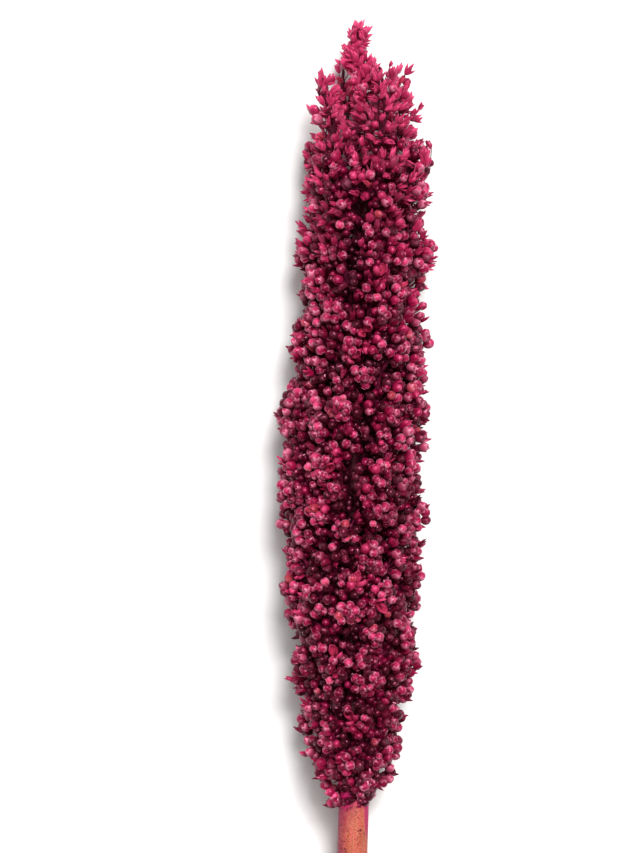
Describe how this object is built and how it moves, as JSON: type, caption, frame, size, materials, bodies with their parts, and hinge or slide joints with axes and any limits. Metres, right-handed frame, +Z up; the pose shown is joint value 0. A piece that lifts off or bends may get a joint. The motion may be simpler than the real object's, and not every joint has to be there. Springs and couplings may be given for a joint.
{
  "type": "sorghum seed head",
  "caption": "Dried and dyed sorghum seed head on a short cut stem, lying on its side, with branches of small round grains packed round a central stalk.",
  "frame": {"origin": "middle of the underside of the object's box, on the surface that the head lies on", "axes": "+Y along the head from the cut stem to the tip, +X across the head, +Z up from the surface"},
  "size_m": [0.0462, 0.307, 0.0428],
  "materials": {
    "grains": "dyed dry husk and grain, crimson to maroon, satin",
    "stalk": "dry ribbed cane, tan stained with crimson dye, satin"
  },
  "bodies": {
    "root": {"stem_and_rachis": "stalk", "whorl_1_branch_1": "grains", "whorl_1_branch_2": "grains", "whorl_1_branch_3": "grains", "whorl_1_branch_4": "grains", "whorl_1_branch_5": "grains", "whorl_2_branch_1": "grains", "whorl_2_branch_2": "grains", "whorl_2_branch_3": "grains", "whorl_2_branch_4": "grains", "whorl_2_branch_5": "grains", "whorl_2_branch_6": "grains", "whorl_3_branch_1": "grains", "whorl_3_branch_2": "grains", "whorl_3_branch_3": "grains", "whorl_3_branch_4": "grains", "whorl_3_branch_5": "grains", "whorl_3_branch_6": "grains", "whorl_3_branch_7": "grains", "whorl_4_branch_1": "grains", "whorl_4_branch_2": "grains", "whorl_4_branch_3": "grains", "whorl_4_branch_4": "grains", "whorl_4_branch_5": "grains", "whorl_4_branch_6": "grains", "whorl_4_branch_7": "grains", "whorl_5_branch_1": "grains", "whorl_5_branch_2": "grains", "whorl_5_branch_3": "grains", "whorl_5_branch_4": "grains", "whorl_5_branch_5": "grains", "whorl_5_branch_6": "grains", "whorl_5_branch_7": "grains", "whorl_6_branch_1": "grains", "whorl_6_branch_2": "grains", "whorl_6_branch_3": "grains", "whorl_6_branch_4": "grains", "whorl_6_branch_5": "grains", "whorl_6_branch_6": "grains", "whorl_7_branch_1": "grains", "whorl_7_branch_2": "grains", "whorl_7_branch_3": "grains", "whorl_7_branch_4": "grains", "whorl_7_branch_5": "grains", "whorl_7_branch_6": "grains", "whorl_8_branch_1": "grains", "whorl_8_branch_2": "grains", "whorl_8_branch_3": "grains", "whorl_8_branch_4": "grains", "whorl_8_branch_5": "grains", "whorl_9_branch_1": "grains", "whorl_9_branch_2": "grains", "whorl_9_branch_3": "grains", "whorl_9_branch_4": "grains", "tip_branch": "grains"}
  },
  "joints": []
}
